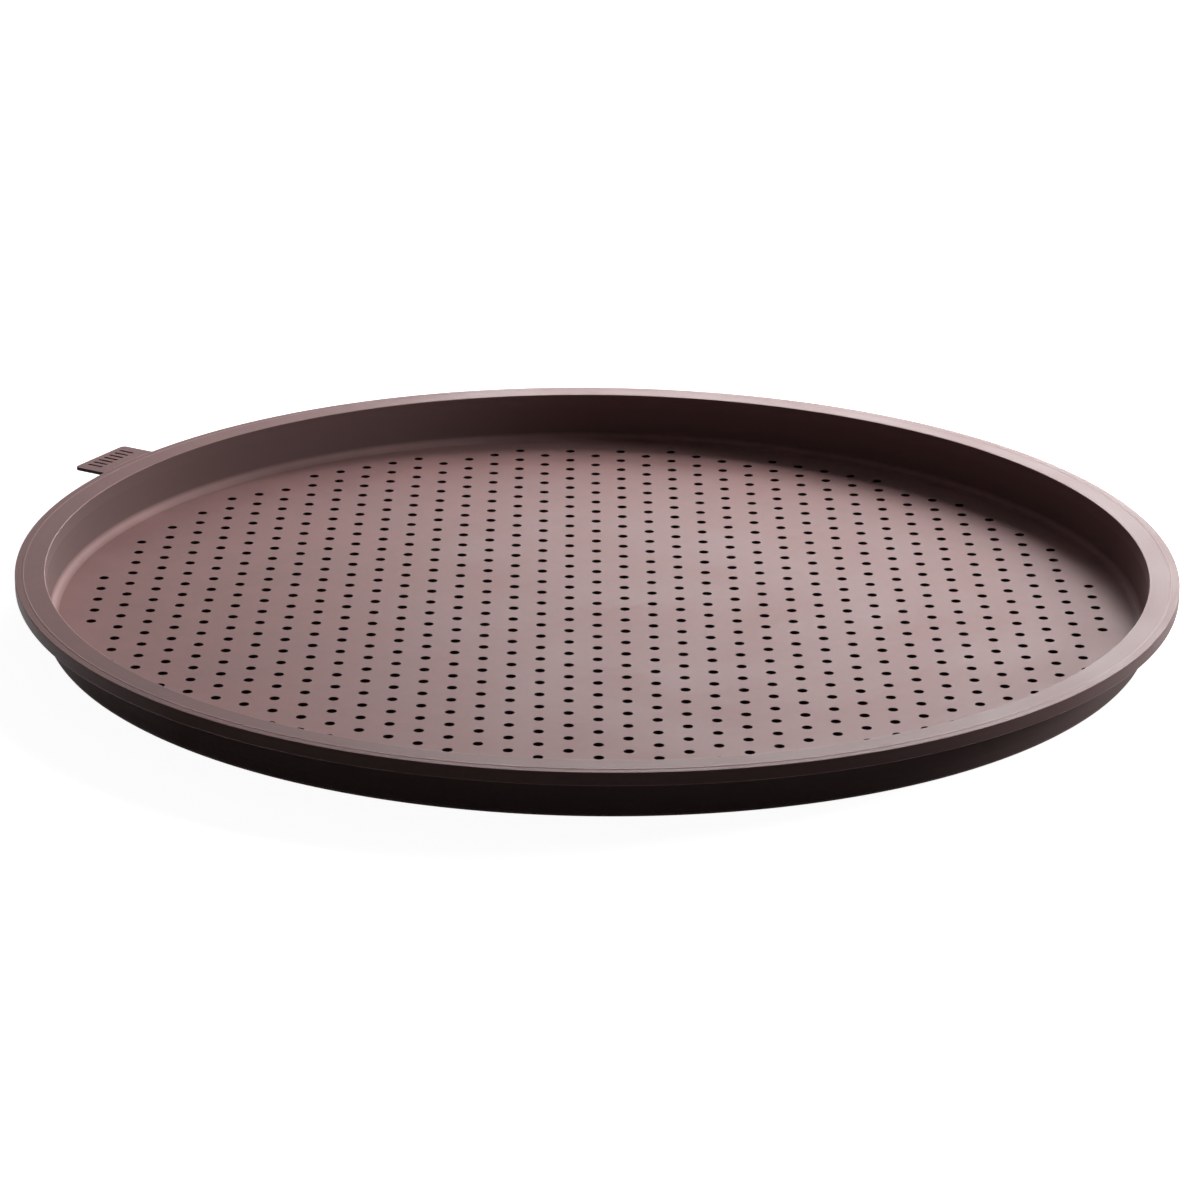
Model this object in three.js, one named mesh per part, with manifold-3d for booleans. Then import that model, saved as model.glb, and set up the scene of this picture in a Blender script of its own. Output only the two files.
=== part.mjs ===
// A round, shallow silicone baking mat: a perforated floor, a low side wall,
// a flat rim with a creased outer margin, and a pull tab on the rim.
// Millimetres, +Z up. The origin is the centre of the underside that the mat lies on.
import * as THREE from 'three';
import { mergeGeometries, mergeVertices } from 'three/addons/utils/BufferGeometryUtils.js';
import Module from 'manifold-3d';

const wasm = await Module();
wasm.setup();

// Rim
const RIM_DIAMETER = 360; // across the outside of the rim
const RIM_WIDTH = 9.2; // from the pan's mouth to the outside
const RIM_THICKNESS = 4.2; // height of the band round the outside
const RIM_MARGIN_WIDTH = 2.5; // from the crease in the rim's top to the outside
const RIM_MARGIN_FALL = 0.2; // drop of the margin from the crease to the outside

// Pan
const PAN_DEPTH = 15.6; // from the rim's top down to the floor
const FLOOR_THICKNESS = 1.6;
const WALL_THICKNESS = 1.4;
const WALL_DRAFT = THREE.MathUtils.degToRad(3.5); // lean from upright, opening upwards
const CORNER_RADIUS = 2.8; // inside round between the floor and the wall
const BASE_ROUND = 1.7; // outside round between the underside and the wall

// Holes, on a triangular pattern with one at the centre of the floor
const HOLE_DIAMETER = 3.1;
const HOLE_PITCH = 10; // between neighbouring holes
const PLAIN_BORDER = 9.3; // band of floor round the edge that holds no hole centre
const CUT_OVERRUN = 1; // how far a hole's cut runs past each face of the floor

// Pull tab, level with the outside of the rim's top
const TAB_WIDTH = 27;
const TAB_LENGTH = 11.3; // out from the rim
const TAB_THICKNESS = 1;
const TAB_CORNER_RADIUS = 1.8;
const TAB_ANGLE = THREE.MathUtils.degToRad(149.5); // round from +X towards +Y

// Facets
const RING_FACETS = 48; // round the mat
const CORNER_FACETS = 3; // along each round between floor and wall
const HOLE_FACETS = 3; // round a hole, whose open area stays that of the round hole
const TAB_CORNER_FACETS = 3;

// Worked out
const RIM_RADIUS = RIM_DIAMETER / 2;
const CREASE_RADIUS = RIM_RADIUS - RIM_MARGIN_WIDTH;
const MOUTH_RADIUS = RIM_RADIUS - RIM_WIDTH;
const RIM_TOP = FLOOR_THICKNESS + PAN_DEPTH;
const MARGIN_TOP = RIM_TOP - RIM_MARGIN_FALL;
const RIM_UNDERSIDE = RIM_TOP - RIM_THICKNESS;
const WALL_FOOT = FLOOR_THICKNESS + CORNER_RADIUS;
const FLOOR_RADIUS = wallRadius(WALL_FOOT) - CORNER_RADIUS;
const HOLE_FIELD_RADIUS = FLOOR_RADIUS - PLAIN_BORDER;
const COLUMN_SPACING = HOLE_PITCH * Math.sqrt(3) / 2;
const LAST_COLUMN = Math.floor(HOLE_FIELD_RADIUS / COLUMN_SPACING);
const CENTRE_PANEL_COLUMN = Math.round(LAST_COLUMN / 3);
const CENTRE_PANEL_EDGE = (CENTRE_PANEL_COLUMN + 0.5) * COLUMN_SPACING;

// Inside radius of the leaning wall at a height
function wallRadius(height) {
  return MOUTH_RADIUS - (RIM_TOP - height) * Math.tan(WALL_DRAFT);
}

// The faceted circle that every ring is turned on, which starts at -Y, turned by an angle
function facetedCircle(radius, turn = 0) {
  const points = [];
  for (let facet = 0; facet < RING_FACETS; facet += 1) {
    const angle = turn - Math.PI / 2 + facet * 2 * Math.PI / RING_FACETS;
    points.push(new THREE.Vector2(radius * Math.cos(angle), radius * Math.sin(angle)));
  }
  return points;
}

// Cuts an outline along a line and keeps the points where distance is not negative
function cutOutline(points, distance) {
  return points.flatMap((point, index) => {
    const next = points[(index + 1) % points.length];
    const here = distance(point);
    const there = distance(next);
    const kept = here >= 0 ? [point] : [];
    if (here * there < 0) kept.push(point.clone().lerp(next, here / (here - there)));
    return kept;
  });
}

function cutToStrip(points, axis, low, high) {
  const aboveLow = cutOutline(points, (point) => point[axis] - low);
  return cutOutline(aboveLow, (point) => high - point[axis]);
}

// Turns a closed profile of [radius, height] pairs, listed up the outside and down the inside
function ring(profile) {
  const points = profile.map(([radius, height]) => new THREE.Vector2(radius, height));
  points.push(points[0].clone());
  return new THREE.LatheGeometry(points, RING_FACETS).rotateX(Math.PI / 2);
}

// Closed mesh as a solid that can be cut
function toSolid(geometry) {
  geometry.deleteAttribute('normal');
  geometry.deleteAttribute('uv');
  const merged = mergeVertices(geometry);
  return new wasm.Manifold(new wasm.Mesh({
    numProp: 3,
    vertProperties: new Float32Array(merged.attributes.position.array),
    triVerts: new Uint32Array(merged.index.array),
  }));
}

function toGeometry(solid) {
  const mesh = solid.getMesh();
  const geometry = new THREE.BufferGeometry();
  geometry.setAttribute('position', new THREE.BufferAttribute(mesh.vertProperties, 3));
  geometry.setIndex(new THREE.BufferAttribute(mesh.triVerts, 1));
  return geometry;
}

// Hole centres, column by column across the floor
function holeCentres() {
  const centres = [];
  const lastRow = Math.floor(HOLE_FIELD_RADIUS / HOLE_PITCH) + 1;
  for (let column = -LAST_COLUMN; column <= LAST_COLUMN; column += 1) {
    const stagger = column % 2 === 0 ? 0 : 0.5;
    for (let row = -lastRow; row <= lastRow; row += 1) {
      const centre = new THREE.Vector2(column * COLUMN_SPACING, (row + stagger) * HOLE_PITCH);
      if (centre.length() <= HOLE_FIELD_RADIUS) centres.push(centre);
    }
  }
  return centres;
}

// One upright prism for each hole, standing past both faces of the floor
function holePrisms(centres) {
  const sector = 2 * Math.PI / HOLE_FACETS;
  const cornerRadius = HOLE_DIAMETER / 2 * Math.sqrt(sector / Math.sin(sector));
  const height = FLOOR_THICKNESS + 2 * CUT_OVERRUN;
  const prism = new THREE.CylinderGeometry(cornerRadius, cornerRadius, height, HOLE_FACETS);
  prism.rotateX(Math.PI / 2);
  return mergeGeometries(centres.map(
    (centre) => prism.clone().translate(centre.x, centre.y, FLOOR_THICKNESS / 2),
  ));
}

// Part of the perforated floor between two upright cuts that pass midway between hole columns
function floorPanel(left, right) {
  const outline = new THREE.Shape(cutToStrip(facetedCircle(FLOOR_RADIUS), 'x', left, right));
  const plate = new THREE.ExtrudeGeometry(outline, { depth: FLOOR_THICKNESS, bevelEnabled: false });
  const inPanel = holeCentres().filter((centre) => centre.x > left && centre.x < right);
  return toGeometry(toSolid(plate).subtract(toSolid(holePrisms(inPanel))));
}

// Quarter round of [radius, height] pairs, from straight below its centre to straight outside it
function quarterRound(centreRadius, centreHeight, radius) {
  const points = [];
  for (let facet = 0; facet <= CORNER_FACETS; facet += 1) {
    const angle = facet / CORNER_FACETS * Math.PI / 2;
    points.push([centreRadius + radius * Math.sin(angle), centreHeight - radius * Math.cos(angle)]);
  }
  return points;
}

// Rounded corner between the floor and the wall, lying flat below
function baseCorner() {
  const outside = wallRadius(WALL_FOOT) + WALL_THICKNESS;
  return ring([
    [FLOOR_RADIUS, 0],
    ...quarterRound(outside - BASE_ROUND, BASE_ROUND, BASE_ROUND),
    [outside, WALL_FOOT],
    ...quarterRound(FLOOR_RADIUS, WALL_FOOT, CORNER_RADIUS).reverse(),
  ]);
}

function sideWall() {
  const foot = wallRadius(WALL_FOOT);
  const head = wallRadius(RIM_UNDERSIDE);
  return ring([
    [foot + WALL_THICKNESS, WALL_FOOT],
    [head + WALL_THICKNESS, RIM_UNDERSIDE],
    [head, RIM_UNDERSIDE],
    [foot, WALL_FOOT],
  ]);
}

// Flat top of the rim, from the mouth of the pan out to the crease
function rimFlange() {
  const head = wallRadius(RIM_UNDERSIDE);
  return ring([
    [head, RIM_UNDERSIDE],
    [head + WALL_THICKNESS, RIM_UNDERSIDE],
    [CREASE_RADIUS, RIM_UNDERSIDE],
    [CREASE_RADIUS, RIM_TOP],
    [MOUTH_RADIUS, RIM_TOP],
  ]);
}

// Outer margin of the rim, with the upright band below it
function rimMargin() {
  return ring([
    [CREASE_RADIUS, RIM_UNDERSIDE],
    [RIM_RADIUS, RIM_UNDERSIDE],
    [RIM_RADIUS, MARGIN_TOP],
    [CREASE_RADIUS, RIM_TOP],
  ]);
}

// Flat tab along +X whose root follows the facets of the rim
function pullTab() {
  const halfWidth = TAB_WIDTH / 2;
  const tip = RIM_RADIUS + TAB_LENGTH;
  const roundCentreX = tip - TAB_CORNER_RADIUS;
  const roundCentreY = halfWidth - TAB_CORNER_RADIUS;
  const root = cutToStrip(facetedCircle(RIM_RADIUS, -TAB_ANGLE), 'y', -halfWidth, halfWidth)
    .filter((point) => point.x > 0)
    .sort((one, other) => other.y - one.y);
  const outline = new THREE.Shape(root);
  outline.absarc(roundCentreX, -roundCentreY, TAB_CORNER_RADIUS, -Math.PI / 2, 0);
  outline.absarc(roundCentreX, roundCentreY, TAB_CORNER_RADIUS, 0, Math.PI / 2);
  return new THREE.ExtrudeGeometry(outline, {
    depth: TAB_THICKNESS,
    bevelEnabled: false,
    curveSegments: TAB_CORNER_FACETS,
  });
}

const mat = new THREE.Group();

function addPiece(name, geometry) {
  const silicone = new THREE.MeshStandardMaterial({ color: 0x8a7070, roughness: 0.6, metalness: 0 });
  const piece = new THREE.Mesh(geometry, silicone);
  piece.name = name;
  mat.add(piece);
  return piece;
}

addPiece('floor_left', floorPanel(-RIM_RADIUS, -CENTRE_PANEL_EDGE));
addPiece('floor_centre', floorPanel(-CENTRE_PANEL_EDGE, CENTRE_PANEL_EDGE));
addPiece('floor_right', floorPanel(CENTRE_PANEL_EDGE, RIM_RADIUS));
addPiece('base_corner', baseCorner());
addPiece('side_wall', sideWall());
addPiece('rim_flange', rimFlange());
addPiece('rim_margin', rimMargin());

const tab = addPiece('pull_tab', pullTab());
tab.position.z = MARGIN_TOP - TAB_THICKNESS;
tab.rotation.z = TAB_ANGLE;

export default mat;
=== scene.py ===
"""Round perforated silicone baking mat: fine meshes, silicone finish, studio light and the photo's view."""
import math

import bpy
from mathutils import Matrix, Vector
from mathutils.geometry import delaunay_2d_cdt


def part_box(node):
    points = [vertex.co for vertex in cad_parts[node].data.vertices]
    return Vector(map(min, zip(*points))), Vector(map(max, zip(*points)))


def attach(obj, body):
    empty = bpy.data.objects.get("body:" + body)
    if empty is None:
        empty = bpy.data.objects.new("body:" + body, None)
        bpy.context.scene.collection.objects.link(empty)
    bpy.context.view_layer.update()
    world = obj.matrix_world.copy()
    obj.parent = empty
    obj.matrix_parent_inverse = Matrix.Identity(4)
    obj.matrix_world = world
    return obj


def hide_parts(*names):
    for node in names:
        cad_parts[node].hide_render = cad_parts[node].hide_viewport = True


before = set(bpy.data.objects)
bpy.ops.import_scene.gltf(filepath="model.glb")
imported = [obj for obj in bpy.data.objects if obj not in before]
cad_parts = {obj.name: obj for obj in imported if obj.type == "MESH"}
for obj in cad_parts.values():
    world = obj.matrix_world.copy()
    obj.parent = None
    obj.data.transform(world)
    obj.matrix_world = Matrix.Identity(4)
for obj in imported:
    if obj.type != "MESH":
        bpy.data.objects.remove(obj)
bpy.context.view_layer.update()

BODY = "root"
MM = 0.001

# Sizes read from the frame
RIM_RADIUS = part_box("rim_margin")[1][0]
CREASE_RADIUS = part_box("rim_flange")[1][0]
RIM_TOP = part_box("rim_flange")[1][2]
RIM_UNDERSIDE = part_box("rim_margin")[0][2]
MARGIN_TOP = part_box("pull_tab")[1][2]
TAB_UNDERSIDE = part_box("pull_tab")[0][2]
WALL_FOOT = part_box("side_wall")[0][2]
FLOOR_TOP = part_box("floor_centre")[1][2]
FLOOR_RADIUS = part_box("floor_right")[1][0]
CORNER_RADIUS = WALL_FOOT - FLOOR_TOP
FOOT_RADIUS = FLOOR_RADIUS + CORNER_RADIUS
WALL_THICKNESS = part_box("base_corner")[1][0] - FOOT_RADIUS
HEAD_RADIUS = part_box("side_wall")[1][0] - WALL_THICKNESS
WALL_LEAN = (HEAD_RADIUS - FOOT_RADIUS) / (RIM_UNDERSIDE - WALL_FOOT)


def wall_radius(height):
    """Inside radius of the leaning wall at a height."""
    return FOOT_RADIUS + WALL_LEAN * (height - WALL_FOOT)


MOUTH_RADIUS = wall_radius(RIM_TOP)

# Holes, on a triangular pattern with one at the middle
HOLE_RADIUS = 1.55 * MM
HOLE_PITCH = 10 * MM
PLAIN_BORDER = 9.3 * MM
HOLE_LIP = 0.05 * MM

# Tab, with a row of plain grip grooves
TAB_ANGLE = math.radians(149.5)
TAB_WIDTH = 27 * MM
TAB_LENGTH = 11.3 * MM
TAB_CORNER_RADIUS = 1.8 * MM
TAB_EMBED = 1.2 * MM
TAB_LIP = 0.1 * MM
GROOVE_COUNT = 7
GROOVE_PITCH = 2.9 * MM
GROOVE_WIDTH = 1.1 * MM
GROOVE_LENGTH = 5.6 * MM
GROOVE_DEPTH = 0.6 * MM
GROOVE_MIDDLE = RIM_RADIUS + 6.4 * MM
GROOVE_DRAFT = 0.12 * MM
GROOVE_END_ROUND = 0.98  # share of the half width; just under 1, so that the two rounds of an end don't meet

# Small rounds and the raised crease line of the rim. A flat face gets a support point beside each round.
SUPPORT = 0.15 * MM
BASE_ROUND = 1.7 * MM
MOUTH_ROUND = 0.25 * MM
EDGE_ROUND = 0.2 * MM
UNDERSIDE_ROUND = 0.4 * MM
CREASE_RIDGE = 0.06 * MM
CREASE_STEP = 0.1 * MM
CREASE_HALF_WIDTH = 0.3 * MM
MARGIN_EDGE = MARGIN_TOP + 0.05 * MM

# Mesh fineness
RING_STEPS = 288
HOLE_STEPS = 20
ROUND_STEPS = 6
CORNER_STEPS = 12
SHARP_ANGLE = math.radians(30)

# Colours of the silicone: flat faces painted paler as painted light, upright faces painted darker as painted
# shade
FLOOR_FLAT_LIT = (0.4, 0.222, 0.216)
# Painted shade: the hole bores near black
BORE_PAINTED_SHADE = (0.04, 0.024, 0.023)
WALL_FLAT_LIT = (0.5, 0.325, 0.316)
RIM_FLAT_LIT = (0.305, 0.163, 0.16)
# Painted shade: upright faces darker than flat ones
WALL_UPRIGHT_SHADE = (0.23, 0.158, 0.153)
BAND_UPRIGHT_SHADE = (0.27, 0.162, 0.157)
LIT_FLAT_START = 0.15  # upward or downward share of the normal at which the painted light of flat faces begins
LIT_FLAT_FULL = 0.65

# Gloss and sheen
SILICONE_IOR = 1.42
GLOSS_TINT = (1.0, 0.7, 0.69, 1.0)
SHEEN_WEIGHT = 0.1
SHEEN_ROUGHNESS = 0.5
SHEEN_TINT = (1.0, 0.8, 0.79, 1.0)

# Clouds, speckles and turned marks of the finish. The first two scales are in noise cells per metre.
NOISE_ROUGHNESS = 0.6
NOISE_LOW = 0.3
NOISE_HIGH = 0.7
CLOUD_SCALE = 28.0
CLOUD_DETAIL = 4.0
CLOUD_DARK = 0.9
CLOUD_PALE = 1.12
CLOUD_ROUGHNESS = 0.05
SPECKLE_SCALE = 1800.0
SPECKLE_DETAIL = 2.0
SPECKLE_START = 0.62
SPECKLE_FULL = 0.8
SPECKLE_AMOUNT = 0.35
MARK_SCALE = 2.2  # noise cells per radian round the mat
MARK_DETAIL = 3.0
MARK_CROWDING = 900.0  # radians that a metre across the marks counts as
MARK_ROUGHNESS = 0.03
GRAIN_STRENGTH = 0.5
GRAIN_HEIGHT = 0.05 * MM

# Edge lines painted paler than the flat colour, partly wear and partly painted highlight
DUST_AND_HIGHLIGHT_GAIN = 1.6
DUST_AND_HIGHLIGHT_LIFT = 0.03
WEAR_HIGHLIGHT_CORE = 0.1 * MM
WEAR_HIGHLIGHT_REACH = 0.4 * MM
WEAR_HIGHLIGHT_AMOUNT = 1.0
WEAR_HIGHLIGHT_LEAST = 0.6  # share of the edge line, wear and painted highlight, that is left where the clouds are dark
WEAR_HIGHLIGHT_CLOUD_LOW = 0.25

# Studio: a floor that looks white beside the mat, and a white backdrop with little light of its own
STUDIO_HALF = 4.0
STUDIO_DROP = 0.2 * MM
STUDIO_ROUGHNESS = 0.9
STUDIO_BOUNCE = (0.08, 0.08, 0.08, 1.0)  # for scattered light
STUDIO_PALE = (0.8, 0.8, 0.8, 1.0)  # for rays that see the floor
WHITE = (1.0, 1.0, 1.0, 1.0)
NEAR_WHITE = 0.94
NEAR_DISTANCE = 0.2
FAR_DISTANCE = 0.5
WORLD_LIGHT = 0.01

# Key light high on the right behind the mat, a low one straight behind it and a low one on its right
LIGHT_AIM = (0.06, 0.0, 0.0)
KEY_PLACE = (0.45, 0.8, 0.5)
KEY_SIZE = 0.35
KEY_POWER = 7.0
BACK_PLACE = (0.125, 1.0, 0.265)
BACK_SIZE = 0.42
BACK_POWER = 4.2
SIDE_PLACE = (0.85, 0.25, 0.3)
SIDE_SIZE = 0.3
SIDE_POWER = 3.2

# Camera, placed by the photographed hole pattern and rim
VIEW_ELEVATION = math.radians(19.715)
VIEW_HEADING = math.radians(-0.466)
VIEW_ROLL = math.radians(0.648)
VIEW_DISTANCE = 1.40643
VIEW_TARGET = Vector((0.94 * MM, 3.16 * MM, 1.6 * MM))
VIEW_LENS = 134.778
SENSOR_WIDTH = 36.0


# Outlines

def circle(radius, count, centre=(0.0, 0.0)):
    """Points of a circle, counterclockwise from +X."""
    points = []
    for step in range(count):
        angle = 2 * math.pi * step / count
        points.append((centre[0] + radius * math.cos(angle), centre[1] + radius * math.sin(angle)))
    return points


def corner_arc(before, here, after, radius):
    """Points of the arc that rounds a corner between its two neighbours."""
    to_before = (before - here).normalized()
    to_after = (after - here).normalized()
    half = to_before.angle(to_after) / 2
    centre = here + (to_before + to_after).normalized() * (radius / math.sin(half))
    start = here + to_before * (radius / math.tan(half)) - centre
    end = here + to_after * (radius / math.tan(half)) - centre
    turn = start.angle_signed(end)
    points = []
    for step in range(ROUND_STEPS + 1):
        arm = start.copy()
        arm.rotate(Matrix.Rotation(-turn * step / ROUND_STEPS, 2))
        points.append(tuple(centre + arm))
    return points


def rounded(corners):
    """Replaces each (x, y, round) corner by an arc of that radius; a round of 0 stays sharp."""
    path = []
    for index, (x, y, radius) in enumerate(corners):
        here = Vector((x, y))
        if radius == 0:
            path.append(tuple(here))
            continue
        before = Vector(corners[index - 1][:2])
        after = Vector(corners[(index + 1) % len(corners)][:2])
        path.extend(corner_arc(before, here, after, radius))
    return path


def turn_flat(points, angle):
    """Flat points turned about the mat's axis."""
    cosine = math.cos(angle)
    sine = math.sin(angle)
    return [(x * cosine - y * sine, x * sine + y * cosine) for x, y in points]


# Meshes

def finish_mesh(name, points, faces):
    """Mesh that is smooth except along its sharp edges."""
    mesh = bpy.data.meshes.new(name)
    mesh.from_pydata(points, [], faces)
    mesh.validate()
    mesh.shade_smooth()
    mesh.set_sharp_from_angle(angle=SHARP_ANGLE)
    return mesh


def turned_mesh(name, profile):
    """Solid turned from a closed (radius, height) profile, listed up the outside and down the inside."""
    points = []
    faces = []
    count = len(profile)
    for step in range(RING_STEPS):
        angle = 2 * math.pi * step / RING_STEPS
        for radius, height in profile:
            points.append((radius * math.cos(angle), radius * math.sin(angle), height))
        this_row = step * count
        next_row = (step + 1) % RING_STEPS * count
        for index in range(count):
            follow = (index + 1) % count
            faces.append((this_row + index, next_row + index, next_row + follow, this_row + follow))
    return finish_mesh(name, points, faces)


def add_stack(points, faces, rings, inwards):
    """Adds a side wall through (flat points, height) rings and returns each ring's vertex numbers."""
    loops = []
    for flat, height in rings:
        first = len(points)
        points.extend((x, y, height) for x, y in flat)
        loops.append(list(range(first, first + len(flat))))
    for upper, lower in zip(loops, loops[1:]):
        for index in range(len(upper)):
            follow = (index + 1) % len(upper)
            quad = (upper[index], lower[index], lower[follow], upper[follow])
            faces.append(quad[::-1] if inwards else quad)
    return loops


def flat_faces(points, loops):
    """Triangles, facing up, that fill the first loop and leave the other loops open."""
    owners = []
    flat = []
    edges = []
    for number, loop in enumerate(loops):
        first = len(flat)
        flat.extend(Vector(points[vertex][:2]) for vertex in loop)
        owners.extend((number, vertex) for vertex in loop)
        edges.extend((first + i, first + (i + 1) % len(loop)) for i in range(len(loop)))
    inside_only = 1
    tolerance = 1e-7
    _, _, triangles, sources, _, _ = delaunay_2d_cdt(flat, edges, [], inside_only, tolerance)
    kept = []
    for triangle in triangles:
        corner_owners = [owners[sources[corner][0]] for corner in triangle]
        numbers = {number for number, _ in corner_owners}
        if len(numbers) > 1 or 0 in numbers:
            kept.append(tuple(vertex for _, vertex in corner_owners))
    return kept


def plate_mesh(name, outline_rings, openings):
    """Flat plate whose edge, and each opening's edge, is a stack of rings listed from the top down.

    A ring is (flat points, height). An opening goes through to the underside, unless it is marked
    blind, when its last ring carries a floor of its own.
    """
    points = []
    faces = []
    edge = add_stack(points, faces, outline_rings, False)
    top_loops = [edge[0]]
    under_loops = [edge[-1]]
    for rings, blind in openings:
        loops = add_stack(points, faces, rings, True)
        top_loops.append(loops[0])
        if blind:
            faces.append(tuple(loops[-1]))
        else:
            under_loops.append(loops[-1])
    faces.extend(flat_faces(points, top_loops))
    faces.extend(face[::-1] for face in flat_faces(points, under_loops))
    return finish_mesh(name, points, faces)


# Shader nodes

class NodeTree:
    """Short way to add and join the shader nodes of a material or a world."""

    def __init__(self, owner, shader):
        owner.use_nodes = True
        self.nodes = owner.node_tree.nodes
        self.links = owner.node_tree.links
        self.shader = self.nodes[shader]

    def feed(self, socket, value):
        """Joins a socket to another node's output, or gives it a constant."""
        if isinstance(value, bpy.types.NodeSocket):
            self.links.new(value, socket)
        else:
            socket.default_value = value

    def set(self, **values):
        """Feeds the shader's sockets, named with _ for each space."""
        for name, value in values.items():
            self.feed(self.shader.inputs[name.replace("_", " ")], value)

    def add(self, kind, inputs=None, **settings):
        """New node with its inputs fed and its settings made."""
        node = self.nodes.new(kind)
        for name, value in settings.items():
            setattr(node, name, value)
        for socket, value in (inputs or {}).items():
            self.feed(node.inputs[socket], value)
        return node

    def math(self, operation, first, second=0.0):
        """Result of one operation on one or two values."""
        return self.add("ShaderNodeMath", {0: first, 1: second}, operation=operation).outputs[0]

    def noise(self, vector, scale, detail):
        """Soft noise from 0 to 1."""
        inputs = {"Vector": vector, "Scale": scale, "Detail": detail, "Roughness": NOISE_ROUGHNESS}
        return self.add("ShaderNodeTexNoise", inputs).outputs["Fac"]

    def spread(self, value, low, high, new_low, new_high):
        """A value from one range brought into another, and held inside it."""
        inputs = {"Value": value, "From Min": low, "From Max": high, "To Min": new_low, "To Max": new_high}
        return self.add("ShaderNodeMapRange", inputs).outputs["Result"]

    def blend(self, factor, first, second):
        """Colour between two others."""
        node = self.add("ShaderNodeMix", data_type="RGBA")
        values = {"Factor_Float": factor, "A_Color": first, "B_Color": second}
        for socket in node.inputs:
            if socket.identifier in values:
                self.feed(socket, values[socket.identifier])
        return next(output for output in node.outputs if output.identifier == "Result_Color")

    def seen(self):
        """1 for rays from the camera, a reflection or a transparent piece, and 0 for scattered light."""
        path = self.add("ShaderNodeLightPath").outputs
        mirrored = self.math("MAXIMUM", path["Is Glossy Ray"], path["Is Transmission Ray"])
        return self.math("MAXIMUM", path["Is Camera Ray"], mirrored)


def opaque(colour):
    """Colour with its alpha."""
    return (*colour, 1.0)


def scaled(colour, gain, lift=0.0):
    """Colour made paler or darker."""
    return tuple(gain * value + lift for value in colour)


# Silicone finish

def axis_distance(tree, axes):
    """Distance from the mat's axis."""
    squares = [tree.math("MULTIPLY", axes[name], axes[name]) for name in ("X", "Y")]
    return tree.math("SQRT", tree.math("ADD", *squares))


def turned_marks(tree, radius, axes):
    """Noise drawn out round the mat's axis, like the marks of a turned mould."""
    place = tree.add("ShaderNodeCombineXYZ", {
        "X": tree.math("MULTIPLY", radius, MARK_CROWDING),
        "Y": tree.math("ARCTAN2", axes["Y"], axes["X"]),
        "Z": tree.math("MULTIPLY", axes["Z"], MARK_CROWDING),
    })
    return tree.noise(place.outputs["Vector"], MARK_SCALE, MARK_DETAIL)


def lit_flat_colour(tree, flat_lit, dust_and_highlight, clouds, speckle):
    """Flat-face colour, painted paler as painted light, cloudy and speckled with dust."""
    cloud_share = tree.spread(clouds, NOISE_LOW, NOISE_HIGH, 0.0, 1.0)
    cloudy = tree.blend(cloud_share, opaque(scaled(flat_lit, CLOUD_DARK)), opaque(scaled(flat_lit, CLOUD_PALE)))
    speckle_share = tree.spread(speckle, SPECKLE_START, SPECKLE_FULL, 0.0, SPECKLE_AMOUNT)
    return tree.blend(speckle_share, cloudy, dust_and_highlight)


def worn_and_highlit_edge(tree, radius, edge_radius, lit_flat_share, clouds):
    """Paler line along a circle about the mat's axis, partly wear and partly painted highlight, broken up by
    the clouds and kept to flat faces.
    """
    distance = tree.math("ABSOLUTE", tree.math("SUBTRACT", radius, edge_radius))
    closeness = tree.spread(distance, WEAR_HIGHLIGHT_CORE, WEAR_HIGHLIGHT_REACH, WEAR_HIGHLIGHT_AMOUNT, 0.0)
    broken = tree.spread(clouds, WEAR_HIGHLIGHT_CLOUD_LOW, NOISE_HIGH, WEAR_HIGHLIGHT_LEAST, 1.0)
    return tree.math("MULTIPLY", tree.math("MULTIPLY", closeness, lit_flat_share), broken)


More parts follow.
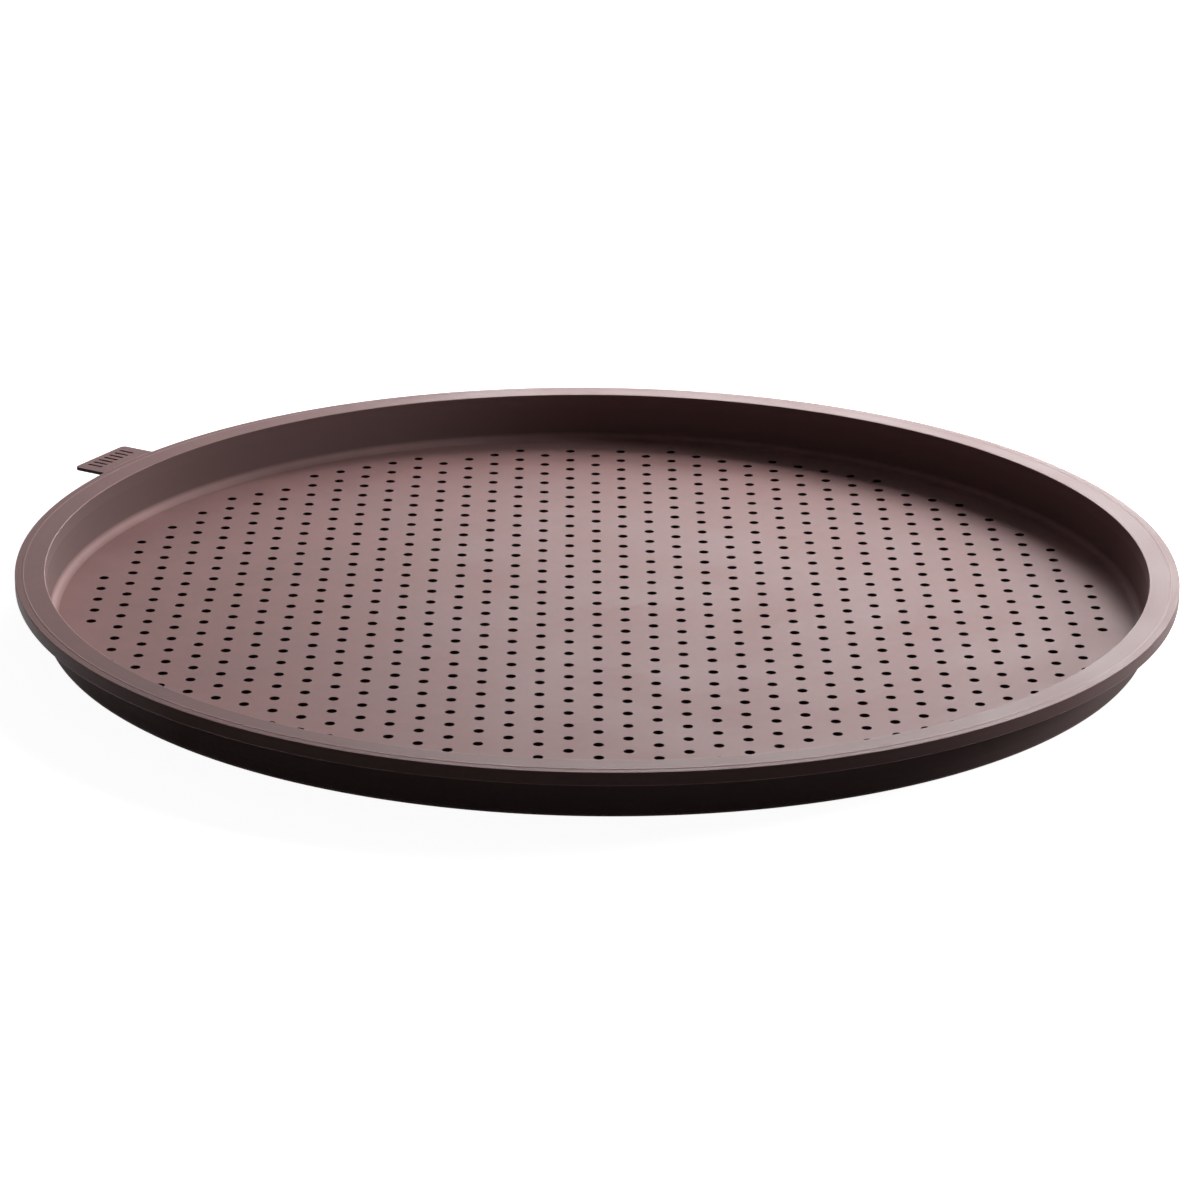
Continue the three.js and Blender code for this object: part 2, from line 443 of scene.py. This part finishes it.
def silicone(name, flat_lit, upright_shade, roughness, gloss, grain, streaks, edge_radii=()):
    """Matte silicone: cloudy colour, fine grain, faint turned marks and paler edge lines, partly wear and
    partly painted highlight.

    Flat faces are painted paler as painted light and upright ones darker as painted shade. edge_radii are
    the distances from the mat's axis at which an edge line is painted paler, as wear and as painted
    highlight.
    """
    material = bpy.data.materials.new(name)
    tree = NodeTree(material, "Principled BSDF")
    coordinates = tree.add("ShaderNodeTexCoord").outputs
    place = coordinates["Object"]
    axes = tree.add("ShaderNodeSeparateXYZ", {"Vector": place}).outputs
    normal = tree.add("ShaderNodeSeparateXYZ", {"Vector": coordinates["Normal"]}).outputs
    flatness = tree.math("ABSOLUTE", normal["Z"])
    lit_flat_share = tree.spread(flatness, LIT_FLAT_START, LIT_FLAT_FULL, 0.0, 1.0)
    radius = axis_distance(tree, axes)

    clouds = tree.noise(place, CLOUD_SCALE, CLOUD_DETAIL)
    speckle = tree.noise(place, SPECKLE_SCALE, SPECKLE_DETAIL)
    marks = turned_marks(tree, radius, axes)

    # Paler colour for the dust specks and for the edge lines, which are partly wear and partly painted
    # highlight
    dust_and_highlight = opaque(scaled(flat_lit, DUST_AND_HIGHLIGHT_GAIN, DUST_AND_HIGHLIGHT_LIFT))
    # Painted light and shade: flat faces take the paler colour, upright faces the darker one
    colour = tree.blend(lit_flat_share, opaque(upright_shade), lit_flat_colour(tree, flat_lit, dust_and_highlight, clouds, speckle))
    # Paler lines at the mouth, crease and outer edge: partly wear, partly painted highlight
    for edge_radius in edge_radii:
        colour = tree.blend(worn_and_highlit_edge(tree, radius, edge_radius, lit_flat_share, clouds), colour, dust_and_highlight)

    cloud_part = tree.spread(clouds, NOISE_LOW, NOISE_HIGH, -CLOUD_ROUGHNESS, CLOUD_ROUGHNESS)
    mark_part = tree.spread(marks, NOISE_LOW, NOISE_HIGH, -MARK_ROUGHNESS, MARK_ROUGHNESS)
    uneven = tree.math("ADD", cloud_part, mark_part)
    height = tree.math("ADD", tree.math("MULTIPLY", speckle, grain), tree.math("MULTIPLY", marks, streaks))
    bump_inputs = {"Strength": GRAIN_STRENGTH, "Distance": GRAIN_HEIGHT, "Height": height}
    bump = tree.add("ShaderNodeBump", bump_inputs)
    tree.set(Base_Color=colour,
             Roughness=tree.math("ADD", uneven, roughness),
             Normal=bump.outputs["Normal"],
             IOR=SILICONE_IOR,
             Specular_IOR_Level=gloss,
             Specular_Tint=GLOSS_TINT,
             Sheen_Weight=SHEEN_WEIGHT,
             Sheen_Roughness=SHEEN_ROUGHNESS,
             Sheen_Tint=SHEEN_TINT)
    return material


# The floor's hole bores take a near-black colour, painted shade in the holes
FLOOR_SILICONE = silicone("floor_silicone", FLOOR_FLAT_LIT, BORE_PAINTED_SHADE,
                          roughness=0.5, gloss=0.1, grain=1.0, streaks=0.15)
# Wall: flat fillet and underside painted paler as painted light, upright wall darker as painted shade
WALL_SILICONE = silicone("wall_silicone", WALL_FLAT_LIT, WALL_UPRIGHT_SHADE,
                         roughness=0.5, gloss=0.03, grain=0.4, streaks=0.6)
RIM_FINISH = {"roughness": 0.42, "gloss": 0.09, "grain": 0.5, "streaks": 0.8,
              "edge_radii": (MOUTH_RADIUS, CREASE_RADIUS, RIM_RADIUS)}
RIM_SILICONE = silicone("rim_silicone", RIM_FLAT_LIT, WALL_UPRIGHT_SHADE, **RIM_FINISH)
BAND_SILICONE = silicone("band_silicone", RIM_FLAT_LIT, BAND_UPRIGHT_SHADE, **RIM_FINISH)


# Pieces of the mat

def hole_centres():
    """Triangular pattern with one hole at the middle and columns along Y."""
    field = FLOOR_RADIUS - PLAIN_BORDER
    spacing = HOLE_PITCH * math.sqrt(3) / 2
    last_column = int(field / spacing)
    last_row = int(field / HOLE_PITCH) + 1
    centres = []
    for column in range(-last_column, last_column + 1):
        stagger = 0.5 * (column % 2)
        for row in range(-last_row, last_row + 1):
            centre = (column * spacing, (row + stagger) * HOLE_PITCH)
            if math.hypot(*centre) <= field:
                centres.append(centre)
    return centres


def perforated_floor():
    """Flat floor with every hole, each with a slightly eased lip at both faces."""
    edge = circle(FLOOR_RADIUS, RING_STEPS)
    openings = []
    for centre in hole_centres():
        lip = circle(HOLE_RADIUS + HOLE_LIP, HOLE_STEPS, centre)
        bore = circle(HOLE_RADIUS, HOLE_STEPS, centre)
        rings = [(lip, FLOOR_TOP), (bore, FLOOR_TOP - HOLE_LIP), (bore, HOLE_LIP), (lip, 0.0)]
        openings.append((rings, False))
    return plate_mesh("perforated_floor", [(edge, FLOOR_TOP), (edge, 0.0)], openings)


def base_corner():
    """Rounded corner between the floor and the wall, lying flat below."""
    outside = FOOT_RADIUS + WALL_THICKNESS
    profile = rounded([
        (FLOOR_RADIUS, 0.0, 0),
        (outside - BASE_ROUND - SUPPORT, 0.0, 0),
        (outside, 0.0, BASE_ROUND),
        (outside, BASE_ROUND + SUPPORT, 0),
        (outside, WALL_FOOT, 0),
    ])
    for step in range(CORNER_STEPS + 1):
        angle = math.pi / 2 * step / CORNER_STEPS
        profile.append((FLOOR_RADIUS + CORNER_RADIUS * math.cos(angle),
                        WALL_FOOT - CORNER_RADIUS * math.sin(angle)))
    return turned_mesh("base_corner_skin", profile)


def side_wall():
    """Leaning wall between the rounded corner and the rim."""
    return turned_mesh("side_wall_skin", [
        (FOOT_RADIUS + WALL_THICKNESS, WALL_FOOT),
        (HEAD_RADIUS + WALL_THICKNESS, RIM_UNDERSIDE),
        (HEAD_RADIUS, RIM_UNDERSIDE),
        (FOOT_RADIUS, WALL_FOOT),
    ])


def rim_flange():
    """Flat rim top from the rounded mouth of the pan out to the raised crease line."""
    flat = RIM_TOP - CREASE_RIDGE
    below_mouth = flat - MOUTH_ROUND - SUPPORT
    return turned_mesh("rim_flange_skin", rounded([
        (HEAD_RADIUS, RIM_UNDERSIDE, 0),
        (CREASE_RADIUS, RIM_UNDERSIDE, 0),
        (CREASE_RADIUS, RIM_TOP, 0),
        (CREASE_RADIUS - CREASE_HALF_WIDTH, flat, 0),
        (CREASE_RADIUS - CREASE_HALF_WIDTH - SUPPORT, flat, 0),
        (MOUTH_RADIUS + MOUTH_ROUND + SUPPORT, flat, 0),
        (MOUTH_RADIUS, flat, MOUTH_ROUND),
        (wall_radius(below_mouth), below_mouth, 0),
    ]))


def rim_margin():
    """Outer margin of the rim, a little lower than the crease, with its upright band."""
    flat = RIM_TOP - CREASE_STEP
    return turned_mesh("rim_margin_skin", rounded([
        (CREASE_RADIUS, RIM_UNDERSIDE, 0),
        (RIM_RADIUS - UNDERSIDE_ROUND - SUPPORT, RIM_UNDERSIDE, 0),
        (RIM_RADIUS, RIM_UNDERSIDE, UNDERSIDE_ROUND),
        (RIM_RADIUS, RIM_UNDERSIDE + UNDERSIDE_ROUND + SUPPORT, 0),
        (RIM_RADIUS, MARGIN_EDGE - EDGE_ROUND - SUPPORT, 0),
        (RIM_RADIUS, MARGIN_EDGE, EDGE_ROUND),
        (RIM_RADIUS - EDGE_ROUND - SUPPORT, MARGIN_EDGE, 0),
        (CREASE_RADIUS + CREASE_HALF_WIDTH + SUPPORT, flat, 0),
        (CREASE_RADIUS + CREASE_HALF_WIDTH, flat, 0),
        (CREASE_RADIUS, RIM_TOP, 0),
    ]))


def tab_outline(inset):
    """Outline of the tab, drawn in by a distance, from inside the rim to the rounded tip."""
    root = RIM_RADIUS - TAB_EMBED
    tip = RIM_RADIUS + TAB_LENGTH - inset
    half = TAB_WIDTH / 2 - inset
    corner = TAB_CORNER_RADIUS - inset
    outline = rounded([(root, -half, 0), (tip, -half, corner), (tip, half, corner), (root, half, 0)])
    return turn_flat(outline, TAB_ANGLE)


def groove_outline(offset, inset):
    """Outline of one grip groove, round at both ends, moved along the tab's width by an offset."""
    half_length = GROOVE_LENGTH / 2 - inset
    half_width = GROOVE_WIDTH / 2 - inset
    end_round = GROOVE_END_ROUND * half_width
    outline = rounded([
        (GROOVE_MIDDLE - half_length, offset - half_width, end_round),
        (GROOVE_MIDDLE + half_length, offset - half_width, end_round),
        (GROOVE_MIDDLE + half_length, offset + half_width, end_round),
        (GROOVE_MIDDLE - half_length, offset + half_width, end_round),
    ])
    return turn_flat(outline, TAB_ANGLE)


def pull_tab():
    """Thin flat tab with eased edges and a row of plain grip grooves."""
    full = tab_outline(0.0)
    eased = tab_outline(TAB_LIP)
    top = MARGIN_EDGE
    rings = [(eased, top), (full, top - TAB_LIP), (full, TAB_UNDERSIDE + TAB_LIP), (eased, TAB_UNDERSIDE)]
    openings = []
    for number in range(GROOVE_COUNT):
        offset = (number - (GROOVE_COUNT - 1) / 2) * GROOVE_PITCH
        groove = [(groove_outline(offset, 0.0), top),
                  (groove_outline(offset, GROOVE_DRAFT), top - GROOVE_DEPTH)]
        openings.append((groove, True))
    return plate_mesh("pull_tab_skin", rings, openings)


def add_piece(name, mesh, material, slot, *nodes):
    """Puts a mesh in the scene in place of its CAD nodes."""
    piece = bpy.data.objects.new(name, mesh)
    bpy.context.scene.collection.objects.link(piece)
    mesh.materials.append(material)
    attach(piece, BODY)
    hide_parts(*nodes)


add_piece("perforated_floor", perforated_floor(), FLOOR_SILICONE, "silicone_floor",
          "floor_left", "floor_centre", "floor_right")
add_piece("base_corner_skin", base_corner(), WALL_SILICONE, "silicone_wall", "base_corner")
add_piece("side_wall_skin", side_wall(), WALL_SILICONE, "silicone_wall", "side_wall")
add_piece("rim_flange_skin", rim_flange(), RIM_SILICONE, "silicone_rim", "rim_flange")
add_piece("rim_margin_skin", rim_margin(), BAND_SILICONE, "silicone_rim", "rim_margin")
add_piece("pull_tab_skin", pull_tab(), BAND_SILICONE, "silicone_rim", "pull_tab")


# Stage, light and camera

def studio_material():
    """Pale floor that looks white beside the mat, keeps the mat's shadow and stays dark under it."""
    material = bpy.data.materials.new("studio_floor")
    tree = NodeTree(material, "Principled BSDF")
    place = tree.add("ShaderNodeTexCoord").outputs["Object"]
    distance = tree.add("ShaderNodeVectorMath", {0: place}, operation="LENGTH").outputs["Value"]
    beside_mat = tree.math("GREATER_THAN", distance, FLOOR_RADIUS)
    seen = tree.seen()
    white = tree.spread(distance, NEAR_DISTANCE, FAR_DISTANCE, NEAR_WHITE, 1.0)
    tree.set(Base_Color=tree.blend(seen, STUDIO_BOUNCE, STUDIO_PALE),
             Roughness=STUDIO_ROUGHNESS,
             Emission_Color=WHITE,
             Emission_Strength=tree.math("MULTIPLY", tree.math("MULTIPLY", seen, beside_mat), white))
    return material


def studio_floor():
    """Wide flat floor just below the mat."""
    signs = ((-1, -1), (1, -1), (1, 1), (-1, 1))
    corners = [(x * STUDIO_HALF, y * STUDIO_HALF, -STUDIO_DROP) for x, y in signs]
    mesh = bpy.data.meshes.new("studio_floor")
    mesh.from_pydata(corners, [], [(0, 1, 2, 3)])
    mesh.materials.append(studio_material())
    floor = bpy.data.objects.new("studio_floor", mesh)
    bpy.context.scene.collection.objects.link(floor)


def studio_world():
    """White backdrop, with a weak even light on the mat."""
    world = bpy.data.worlds.new("studio_world")
    bpy.context.scene.world = world
    tree = NodeTree(world, "Background")
    tree.set(Color=WHITE, Strength=tree.spread(tree.seen(), 0.0, 1.0, WORLD_LIGHT, 1.0))


def area_light(name, place, size, power):
    """Square soft box at a place, turned towards the mat."""
    light = bpy.data.lights.new(name, "AREA")
    light.shape = "SQUARE"
    light.size = size
    light.energy = power
    lamp = bpy.data.objects.new(name, light)
    lamp.location = place
    lamp.rotation_euler = (Vector(place) - Vector(LIGHT_AIM)).to_track_quat("Z", "Y").to_euler()
    lamp.visible_camera = False
    bpy.context.scene.collection.objects.link(lamp)


def photo_camera():
    """Camera at the photograph's viewing angle."""
    lens = bpy.data.cameras.new("photo_camera")
    lens.sensor_width = SENSOR_WIDTH
    lens.lens = VIEW_LENS
    camera = bpy.data.objects.new("photo_camera", lens)
    turn = (Matrix.Rotation(VIEW_HEADING, 4, "Z") @ Matrix.Rotation(math.pi / 2 - VIEW_ELEVATION, 4, "X")
            @ Matrix.Rotation(VIEW_ROLL, 4, "Z"))
    backwards = turn @ Vector((0.0, 0.0, 1.0))
    camera.matrix_world = Matrix.Translation(VIEW_TARGET + backwards * VIEW_DISTANCE) @ turn
    bpy.context.scene.collection.objects.link(camera)
    bpy.context.scene.camera = camera


studio_floor()
studio_world()
area_light("key_light", KEY_PLACE, KEY_SIZE, KEY_POWER)
area_light("back_light", BACK_PLACE, BACK_SIZE, BACK_POWER)
area_light("side_light", SIDE_PLACE, SIDE_SIZE, SIDE_POWER)
photo_camera()
bpy.context.scene.view_settings.view_transform = "Standard"
